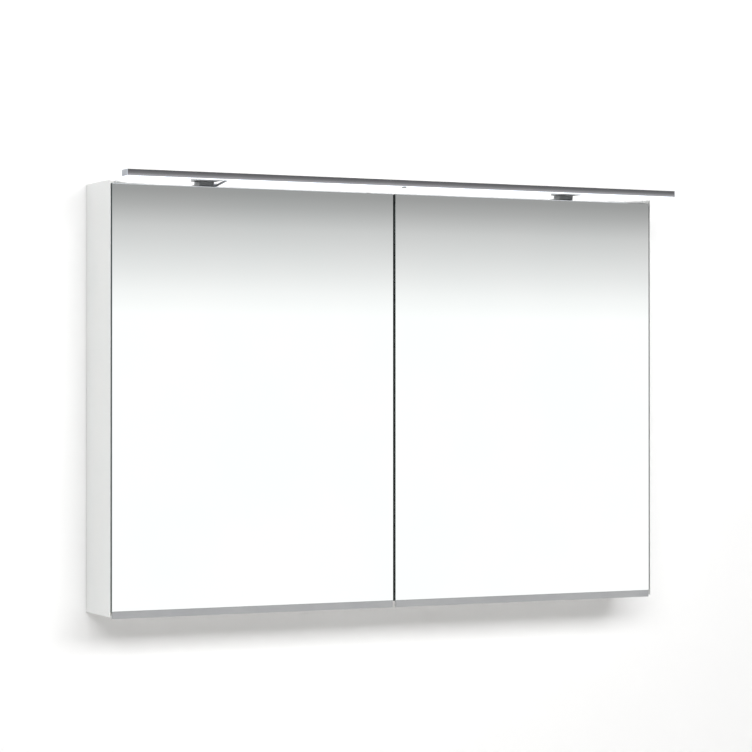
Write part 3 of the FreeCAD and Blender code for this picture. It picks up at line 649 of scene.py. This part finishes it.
@dataclass(frozen=True)
class CrossScrew:
    """A screw with a cross recess and a ridged shank.

    Args:
        like: The CAD solid that it follows.
        drive: Shape of the head.
        pitch: Distance from ridge to ridge, or 0 for a plain shank.
        flat_rim: Radius of a countersunk head's top face, as a share of the head's radius.
        pan_rim: The same for a pan head.
        recess_reach: Half the cross recess's span, as a share of the head's radius.
        recess_half: Half the width of its arms, as a share of the head's radius.
        recess_depth: Its depth, as a share of the head's height.
        recess_taper: Size of its floor, as a share of its mouth.
        root: Radius between the ridges, as a share of the shank's radius.
        segments: Faces round the axis.
    """

    like: Fastener
    drive: Drive = Drive.PAN
    pitch: float = 0.0
    flat_rim: float = 0.97
    pan_rim: float = 0.72
    recess_reach: float = 0.5
    recess_half: float = 0.13
    recess_depth: float = 0.6
    recess_taper: float = 0.7
    root: float = 0.82
    segments: int = 24

    def head_rings(self) -> list[tuple[float, float]]:
        """Shape the head below its top face's rim.

        Returns:
            Radius and height of each ring, down to the shank.
        """
        top = self.like.length
        rise = self.like.head_height
        radius = self.like.head
        neck = (self.like.shank, top - rise)
        if self.drive is Drive.COUNTERSUNK:
            return [(radius, top - 0.1 * MM), neck]
        # a pan head: width as a share of the radius, and depth below the top as a share of the height
        dome = ((0.88, 0.12), (0.97, 0.36), (1.0, 0.65), (1.0, 0.98))
        return [(radius * width, top - rise * depth) for width, depth in dome] + [neck]

    def shank_rings(self) -> list[tuple[float, float]]:
        """Shape the shank.

        Returns:
            Radius and height of each ring, from the head to the tip.
        """
        start = self.like.length - self.like.head_height
        rings = []
        count = int(start / self.pitch) - 2 if self.pitch else 0
        for turn in range(count):
            height = start - (turn + 1) * self.pitch
            rings += [(self.like.shank * self.root, height), (self.like.shank, height - self.pitch / 2)]
        return rings + [(self.like.shank * 0.8, 0.2 * MM), (self.like.shank * 0.5, 0.0)]

    def add(self, bm: bmesh.types.BMesh) -> None:
        """Add the screw to a mesh.

        Args:
            bm: The mesh that gets it.
        """
        work = bmesh.new()
        top = self.like.length
        radius = self.like.head * (self.flat_rim if self.drive is Drive.COUNTERSUNK else self.pan_rim)
        rim = bmesh.ops.create_circle(work, segments=self.segments, radius=radius,
                                      matrix=Matrix.Translation((0, 0, top)))["verts"]
        rim_edges = list({edge for vert in rim for edge in vert.link_edges})
        cross = [work.verts.new((x, y, top)) for x, y in self.recess_corners()]
        cross_edges = [work.edges.new((a, b)) for a, b in zip(cross, cross[1:] + cross[:1])]
        bmesh.ops.triangle_fill(work, use_beauty=True, edges=rim_edges + cross_edges)
        floor = (self.recess_taper, top - self.recess_depth * self.like.head_height)
        floor_edges = next_ring(work, cross_edges, (1.0, top), floor)[1]
        bmesh.ops.contextual_create(work, geom=floor_edges)
        edges = rim_edges
        rings = [(radius, top)] + self.head_rings() + self.shank_rings()
        for before, after in zip(rings, rings[1:]):
            edges = next_ring(work, edges, before, after)[1]
        bmesh.ops.contextual_create(work, geom=edges)
        bmesh.ops.transform(work, matrix=self.like.place(), verts=work.verts[:])
        join(bm, work)

    def recess_corners(self) -> list[tuple[float, float]]:
        """Shape the cross recess.

        Returns:
            X and Y of its twelve corners, clockwise.
        """
        arm = self.like.head * self.recess_reach
        half = self.like.head * self.recess_half
        quarter = [(half, arm), (half, half), (arm, half)]
        corners = []
        for _ in range(4):
            corners += quarter
            quarter = [(y, -x) for x, y in quarter]
        return corners


def join(bm: bmesh.types.BMesh, part: bmesh.types.BMesh) -> None:
    """Move one bmesh into another, and free it.

    Args:
        bm: The mesh that grows.
        part: The mesh that is added.
    """
    mesh = bpy.data.meshes.new("joined")
    part.to_mesh(mesh)
    part.free()
    bm.from_mesh(mesh)
    bpy.data.meshes.remove(mesh)


def solids_of(node: str) -> list[list[Vector]]:
    """Points of each separate solid in a CAD node.

    Args:
        node: Name of the node.

    Returns:
        One list of points for each solid.
    """
    bm = bmesh.new()
    bm.from_mesh(frame["nodes"][node].data)
    bmesh.ops.remove_doubles(bm, verts=bm.verts[:], dist=0.001 * MM)
    left = set(bm.verts)
    solids = []
    while left:
        waiting = [left.pop()]
        found = []
        while waiting:
            vert = waiting.pop()
            found.append(vert.co.copy())
            for edge in vert.link_edges:
                other = edge.other_vert(vert)
                if other in left:
                    left.remove(other)
                    waiting.append(other)
        solids.append(found)
    bm.free()
    return sorted(solids, key=lambda points: tuple(round(c, 5) for c in points_middle(points)))


def points_middle(points: list[Vector]) -> Vector:
    """Find the middle of the box round some points.

    Args:
        points: The points.

    Returns:
        The middle.
    """
    low = Vector([min(p[i] for p in points) for i in range(3)])
    high = Vector([max(p[i] for p in points) for i in range(3)])
    return (low + high) / 2


# ---------------------------------------------------------------- sub-assemblies

@dataclass
class Fixings:
    """Screws and hinge pins, each with its head, recess and ridges.

    Args:
        book: The finishes.
        ridge: Distance from ridge to ridge on the screws, in metres.
    """

    book: FinishBook
    ridge: float = 1.2 * MM

    def build(self) -> None:
        """Replace the plain CAD fasteners."""
        for node, drive in (("hinge_screws", Drive.PAN), ("bracket_screws", Drive.PAN),
                            ("carcass_screws", Drive.COUNTERSUNK), ("height_screws", Drive.PAN)):
            self.screws(node, drive)
        self.pins()

    def screws(self, node: str, drive: Drive) -> None:
        """Replace one CAD node of screws.

        Args:
            node: The node.
            drive: Shape of the heads.
        """
        bm = bmesh.new()
        for points in solids_of(node):
            CrossScrew(Fastener.measured(points), drive, self.ridge).add(bm)
        make_piece(node.replace("screws", "cross_screws"), bm, "zinc_steel", self.book, (node,))

    def pins(self) -> None:
        """Hinge pins with a domed, riveted head and a rounded tip."""
        bm = bmesh.new()
        for points in solids_of("hinge_pins"):
            pin = Fastener.measured(points)
            low = pin.length - pin.head_height
            shank = ((pin.shank * 0.7, 0.0), (pin.shank, 0.5 * MM), (pin.shank, low))
            # the rivet's dome: width as a share of the head's radius, and height as a share of its height
            dome = ((1.0, 0.05), (0.95, 0.5), (0.75, 0.85), (0.4, 1.0))
            head = tuple((pin.head * width, low + pin.head_height * rise) for width, rise in dome)
            Turning(shank + head).add(bm, pin.place())
        make_piece("riveted_hinge_pins", bm, "zinc_steel", self.book, ("hinge_pins",))


@dataclass
class LightBar:
    """The light bar's drawn aluminium profile, with a slightly crowned front.

    Args:
        book: The finishes.
        wall: Thickness of the profile, in metres.
        crown: Rise of the front at mid-height, in metres.
        corner: Bevel of the upper rear edge, in metres.
        arc_steps: Flats in the crown.
    """

    book: FinishBook
    wall: float = 1.3 * MM
    crown: float = 0.14 * MM
    corner: float = 0.6 * MM
    arc_steps: int = 10

    def front_outline(self, low: Vector, high: Vector) -> list[tuple[float, float]]:
        """Y and Z of the crowned front, from its lower edge to its upper edge.

        Args:
            low: Lowest corner of the CAD profile.
            high: Highest corner of the CAD profile.

        Returns:
            The outline's points.
        """
        height = high.z - low.z
        radius = (height * height / 4 + self.crown * self.crown) / (2 * self.crown)
        middle_z = (low.z + high.z) / 2
        half_angle = math.asin(height / 2 / radius)
        points = []
        for step in range(self.arc_steps + 1):
            angle = -half_angle + 2 * half_angle * step / self.arc_steps
            points.append((low.y + radius * (1 - math.cos(angle)), middle_z + radius * math.sin(angle)))
        return points

    def build(self) -> None:
        """Replace the plain CAD channel with the crowned profile."""
        low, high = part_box("light_bar_profile")
        wall = self.wall
        outline = self.front_outline(low, high)
        outline += [(high.y - self.corner, high.z), (high.y, high.z - self.corner), (high.y, low.z),
                    (high.y - wall, low.z), (high.y - wall, high.z - wall),
                    (low.y + wall + self.crown, high.z - wall), (low.y + wall, high.z - 2 * wall),
                    (low.y + wall, low.z)]
        bm = bmesh.new()
        section = bm.faces.new([bm.verts.new((low.x, y, z)) for y, z in outline])
        grown = bmesh.ops.extrude_face_region(bm, geom=[section])["geom"]
        moved = [item for item in grown if isinstance(item, bmesh.types.BMVert)]
        bmesh.ops.translate(bm, verts=moved, vec=(high.x - low.x, 0, 0))
        make_piece("crowned_light_profile", bm, "polished_aluminium", self.book, ("light_bar_profile",))


@dataclass
class Catches:
    """Steel pole plates and the magnet between them in the front of each catch.

    Args:
        book: The finishes.
        end_inset: Distance from the catch's end to the plates, in metres.
        plate: Thickness of a plate.
        plate_offset: Height of a plate above or below the catch's middle.
        plate_proud: How far the plates stand out of the front.
        magnet_half: Half the magnet's thickness.
        magnet_proud: How far the magnet stands out of the front.
        plate_depth: How far the plates go into the catch.
        magnet_depth: How far the magnet goes into the catch.
    """

    book: FinishBook
    end_inset: float = 5 * MM
    plate: float = 1.2 * MM
    plate_offset: float = 2.6 * MM
    plate_proud: float = 0.12 * MM
    magnet_half: float = 1.9 * MM
    magnet_proud: float = 0.04 * MM
    plate_depth: float = 2 * MM
    magnet_depth: float = 1.5 * MM

    def build(self) -> None:
        """Add the pole plates and magnets."""
        plates = bmesh.new()
        magnets = bmesh.new()
        for points in solids_of("magnetic_catches"):
            middle = points_middle(points)
            front = Vector((middle.x, min(p.y for p in points), middle.z))
            half = (max(p.x for p in points) - middle.x - self.end_inset) * X_AXIS
            for way in (-1, 1):
                centre = front + way * self.plate_offset * Z_AXIS
                rise = self.plate / 2 * Z_AXIS
                add_block(plates, centre - half - rise - self.plate_proud * Y_AXIS,
                          centre + half + rise + self.plate_depth * Y_AXIS, bevel=0.15 * MM)
            rise = self.magnet_half * Z_AXIS
            add_block(magnets, front - half - rise - self.magnet_proud * Y_AXIS,
                      front + half + rise + self.magnet_depth * Y_AXIS, bevel=0.1 * MM)
        make_piece("catch_pole_plates", plates, "zinc_steel", self.book)
        make_piece("catch_magnets", magnets, "dark_metal", self.book)


@dataclass
class Driver:
    """LED driver case with end covers, ribs and cover screws.

    Args:
        book: The finishes.
        cover_length: Length of an end cover, in metres.
        step: How far the case stands back from the covers.
        rib_pitch: Distance from rib to rib.
        rib_half: Half the width of a rib.
        rib_height: Height of a rib above the case.
        rib_end: Distance from a rib's end to the case's edge.
        screw_inset: Distance from a screw to the case's edge.
    """

    book: FinishBook
    cover_length: float = 24 * MM
    step: float = 0.8 * MM
    rib_pitch: float = 6 * MM
    rib_half: float = 0.8 * MM
    rib_height: float = 0.5 * MM
    rib_end: float = 4 * MM
    screw_inset: float = 5 * MM

    def build(self) -> None:
        """Replace the plain CAD case, and add the screws of its covers."""
        low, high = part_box("led_driver")
        self.case(low, high)
        self.cover_screws(low, high)

    def case(self, low: Vector, high: Vector) -> None:
        """Case, end covers and ribs.

        Args:
            low: Lowest corner of the CAD case.
            high: Highest corner of the CAD case.
        """
        bm = bmesh.new()
        inset = Vector((self.cover_length, self.step, self.step))
        add_block(bm, low + inset, high - inset, bevel=1.0 * MM)
        across = (high.x - low.x - self.cover_length) * X_AXIS
        add_block(bm, low, high - across, bevel=1.6 * MM)
        add_block(bm, low + across, high, bevel=1.6 * MM)
        count = int((high.x - low.x - 2 * self.cover_length) / self.rib_pitch) - 1
        back = high.y - self.step
        for rib in range(count):
            x = low.x + self.cover_length + (rib + 1) * self.rib_pitch
            add_block(bm, Vector((x - self.rib_half, back - 0.1 * MM, low.z + self.rib_end)),
                      Vector((x + self.rib_half, back + self.rib_height, high.z - self.rib_end)),
                      bevel=0.2 * MM)
        make_piece("ribbed_driver_case", bm, "driver_case", self.book, ("led_driver",))

    def cover_screws(self, low: Vector, high: Vector) -> None:
        """Two screws in each end cover.

        Args:
            low: Lowest corner of the CAD case.
            high: Highest corner of the CAD case.
        """
        screws = bmesh.new()
        for x in (low.x + self.cover_length / 2, high.x - self.cover_length / 2):
            for z in (low.z + self.screw_inset, high.z - self.screw_inset):
                like = Fastener(tip=Vector((x, high.y - 5 * MM, z)), out=Y_AXIS, length=5.3 * MM,
                                shank=1.2 * MM, head=2.4 * MM, head_height=1.4 * MM)
                CrossScrew(like).add(screws)
        make_piece("driver_cover_screws", screws, "zinc_steel", self.book)


@dataclass
class SocketDetail:
    """Earth clips in the socket's well.

    Args:
        book: The finishes.
        offset: Distance from the well's middle to a clip, in metres.
        half_width: Half the width of a clip.
        half_thick: Half the thickness of a clip.
        rim_gap: Distance from a clip to the cup's rim.
        floor_gap: Distance from a clip to the cup's rear end.
    """

    book: FinishBook
    offset: float = 18.6 * MM
    half_width: float = 2.2 * MM
    half_thick: float = 0.5 * MM
    rim_gap: float = 2 * MM
    floor_gap: float = 3 * MM

    def build(self) -> None:
        """Add the clips."""
        low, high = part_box("socket_cup")
        middle = (low + high) / 2
        clips = bmesh.new()
        for way in (-1, 1):
            z = middle.z + way * self.offset
            add_block(clips, Vector((middle.x - self.half_width, low.y + self.rim_gap, z - self.half_thick)),
                      Vector((middle.x + self.half_width, high.y - self.floor_gap, z + self.half_thick)),
                      bevel=0.3 * MM)
        make_piece("socket_earth_clips", clips, "brass", self.book)


@dataclass
class Stage:
    """Wall, floor, the pale card that the mirrors reflect, and the lights.

    Args:
        floor_drop: Distance from the cabinet's underside down to the floor, in metres.
        wall_reach: Half the width of the wall and of the card.
        wall_gap: Distance from the cabinet's back to the wall.
        opening_inset: Distance from the cabinet's outline in to the wall's opening.
        back_power: Power of the softbox behind the wall, in watts.
        card_ahead: Distance from the mirrors to the card.
        card_below: How far the card reaches below the cabinet's underside.
        card_above: How far it reaches above the underside.
        card_glow: Strength of the card's glow.
        softbox_width: Width of each softbox.
        softbox_height: Height of each softbox.
        softbox_power: Power of the front softbox, in watts.
        room_glow: Strength of the surroundings.
        card_tones: Height above the underside and colour, from the lowest up.
    """

    floor_drop: float = 1.1
    wall_reach: float = 6.0
    wall_gap: float = 1 * MM
    opening_inset: float = 12 * MM
    back_power: float = 30.0
    card_ahead: float = 2.0
    card_below: float = 0.9
    card_above: float = 4.5
    card_glow: float = 1.08
    softbox_width: float = 3.8
    softbox_height: float = 0.8
    softbox_power: float = 79.0
    room_glow: float = 0.295
    card_tones: tuple[tuple[float, str], ...] = (
        (0.30, "FFFFFF"), (0.544, "FFFFFF"), (0.600, "F5F5F5"), (0.652, "E7E7E7"), (0.706, "D9D9D9"),
        (0.760, "CACACA"), (0.814, "ACACAC"), (0.846, "9C9C9C"), (0.880, "989898"), (1.00, "848484"),
        (1.90, "5C5C5C"),
    )

    def plane(self, name: str, corners: list[tuple[float, float, float]],
              material: bpy.types.Material) -> None:
        """Add a staged sheet of one or more rectangles.

        Args:
            name: Its name.
            corners: Four corners for each rectangle, in metres.
            material: Its material.
        """
        bm = bmesh.new()
        for start in range(0, len(corners), 4):
            bm.faces.new([bm.verts.new(corner) for corner in corners[start:start + 4]])
        mesh = bpy.data.meshes.new(name)
        bm.to_mesh(mesh)
        bm.free()
        mesh.materials.append(material)
        sheet = bpy.data.objects.new(name, mesh)
        bpy.context.scene.collection.objects.link(sheet)

    def matt(self, name: str, colour: str, one_sided: bool) -> bpy.types.Material:
        """Matt paint for wall and floor.

        Args:
            name: Its name.
            colour: Its colour, as hex digits.
            one_sided: Whether it is clear when seen from behind.

        Returns:
            The material.
        """
        material = bpy.data.materials.new(name)
        material.use_nodes = True
        tree = material.node_tree
        tree.nodes.clear()
        shader = add_node(tree, "ShaderNodeBsdfDiffuse", {"Color": linear(colour)}).outputs[0]
        if one_sided:
            behind = add_node(tree, "ShaderNodeNewGeometry").outputs["Backfacing"]
            clear = add_node(tree, "ShaderNodeBsdfTransparent").outputs[0]
            shader = add_node(tree, "ShaderNodeMixShader", links={0: behind, 1: shader, 2: clear}).outputs[0]
        add_node(tree, "ShaderNodeOutputMaterial", links={"Surface": shader})
        return material

    def card_material(self, bottom: float) -> bpy.types.Material:
        """Card that fades from white to grey with height, as a ceiling edge does in a white room.

        Args:
            bottom: Height of the cabinet's underside.

        Returns:
            The glowing material.
        """
        material = bpy.data.materials.new("reflected_card")
        material.use_nodes = True
        tree = material.node_tree
        tree.nodes.clear()
        coords = add_node(tree, "ShaderNodeTexCoord").outputs["Object"]
        height = add_node(tree, "ShaderNodeSeparateXYZ", links={"Vector": coords}).outputs["Z"]
        first, last = self.card_tones[0][0], self.card_tones[-1][0]
        values = {"From Min": bottom + first, "From Max": bottom + last}
        share = add_node(tree, "ShaderNodeMapRange", values, {"Value": height})
        ramp = add_node(tree, "ShaderNodeValToRGB", links={"Fac": share.outputs["Result"]})
        stops = ramp.color_ramp.elements
        for position, colour in self.card_tones:
            place = (position - first) / (last - first)
            if position == first:
                stop = stops[0]
            elif position == last:
                stop = stops[-1]
            else:
                stop = stops.new(place)
            stop.color = linear(colour)
        glow = add_node(tree, "ShaderNodeEmission", {"Strength": self.card_glow},
                        {"Color": ramp.outputs["Color"]})
        add_node(tree, "ShaderNodeOutputMaterial", links={"Surface": glow.outputs[0]})
        return material

    def wall_corners(self, floor: float) -> list[tuple[float, float, float]]:
        """Corners of the wall's four rectangles round an opening that the cabinet hides.

        The opening lets light reach the cabinet's back, so that it can be looked at.

        Args:
            floor: Height of the floor.

        Returns:
            Four corners for each rectangle.
        """
        low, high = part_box("side_cover_left")
        reach = self.wall_reach
        side = -low.x - self.opening_inset
        sill = low.z + self.opening_inset
        head = high.z - self.opening_inset
        y = self.wall_gap
        corners = []
        for x_low, x_high, z_low, z_high in ((-reach, reach, floor, sill), (-reach, reach, head, reach),
                                             (-reach, -side, sill, head), (side, reach, sill, head)):
            corners += [(x_low, y, z_low), (x_high, y, z_low), (x_high, y, z_high), (x_low, y, z_high)]
        return corners

    def build(self) -> None:
        """Build the stage and the lights."""
        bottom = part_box("side_cover_left")[0].z
        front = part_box("mirror_front_left")[0].y
        floor = bottom - self.floor_drop
        reach = self.wall_reach
        self.plane("stage_wall", self.wall_corners(floor), self.matt("white_wall", "FDFDFD", True))
        self.plane("stage_floor", [(-reach, -reach, floor), (reach, -reach, floor), (reach, reach, floor),
                                   (-reach, reach, floor)], self.matt("pale_floor", "E9E8E6", False))
        y = front - self.card_ahead
        foot, head = bottom - self.card_below, bottom + self.card_above
        self.plane("stage_card", [(reach, y, foot), (-reach, y, foot), (-reach, y, head), (reach, y, head)],
                   self.card_material(bottom))
        card = bpy.data.objects["stage_card"]
        for rays in ("camera", "diffuse", "shadow", "transmission"):
            setattr(card, "visible_" + rays, False)
        self.world()
        self.softbox("softbox", Vector((-0.3, -2.7, bottom + 1.29)), Vector((-0.3, 0.0, bottom)),
                     self.softbox_power)
        self.softbox("back_softbox", Vector((0.6, 2.6, bottom + 1.5)), Vector((0.0, 0.0, bottom + 0.3)),
                     self.back_power)

    def world(self) -> None:
        """Even white surroundings."""
        world = bpy.data.worlds.new("white_room")
        bpy.context.scene.world = world
        world.use_nodes = True
        background = world.node_tree.nodes["Background"]
        background.inputs["Color"].default_value = linear("FFFFFF")
        background.inputs["Strength"].default_value = self.room_glow

    def softbox(self, name: str, place: Vector, target: Vector, power: float) -> None:
        """Add a wide, low softbox; mirrors don't show it.

        Args:
            name: Its name.
            place: Where it stands.
            target: Where it points.
            power: Its power, in watts.
        """
        lamp = bpy.data.lights.new(name, "AREA")
        lamp.shape = "RECTANGLE"
        lamp.size = self.softbox_width
        lamp.size_y = self.softbox_height
        lamp.energy = power
        light = bpy.data.objects.new(name, lamp)
        light.location = place
        light.rotation_euler = (target - place).to_track_quat("-Z", "Y").to_euler()
        light.visible_glossy = False
        bpy.context.scene.collection.objects.link(light)


@dataclass
class Viewpoint:
    """Camera to the left of the cabinet, level with its middle.

    Args:
        place: Its place, with heights from the cabinet's underside, in metres.
        heading: Its turn from straight ahead, in degrees.
        pitch: Its tilt above level, in degrees.
        lens: Focal length, in millimetres.
        sensor: Width of the sensor, in millimetres.
        reach: Farthest distance that it shows.
    """

    place: Vector = field(default_factory=lambda: Vector((-1.8623, -3.854, 0.3566)))
    heading: float = 26.04
    pitch: float = 0.339
    lens: float = 120.4
    sensor: float = 36.0
    reach: float = 100.0

    def build(self) -> None:
        """Create the camera and make it the scene's."""
        data = bpy.data.cameras.new("camera")
        data.lens = self.lens
        data.sensor_width = self.sensor
        data.clip_end = self.reach
        camera = bpy.data.objects.new("camera", data)
        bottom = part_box("side_cover_left")[0].z
        camera.location = self.place + Vector((0, 0, bottom))
        camera.rotation_euler = (math.radians(90 + self.pitch), 0.0, math.radians(-self.heading))
        bpy.context.scene.collection.objects.link(camera)
        bpy.context.scene.camera = camera


def main() -> None:
    logging.basicConfig(level=logging.INFO, format="%(message)s")
    bpy.context.scene.view_settings.view_transform = "Standard"
    Viewpoint().build()
    book = FinishBook()
    book.build()
    book.dress_frame()
    Fixings(book).build()
    LightBar(book).build()
    Catches(book).build()
    Driver(book).build()
    SocketDetail(book).build()
    Stage().build()


if __name__ == "__main__":
    main()
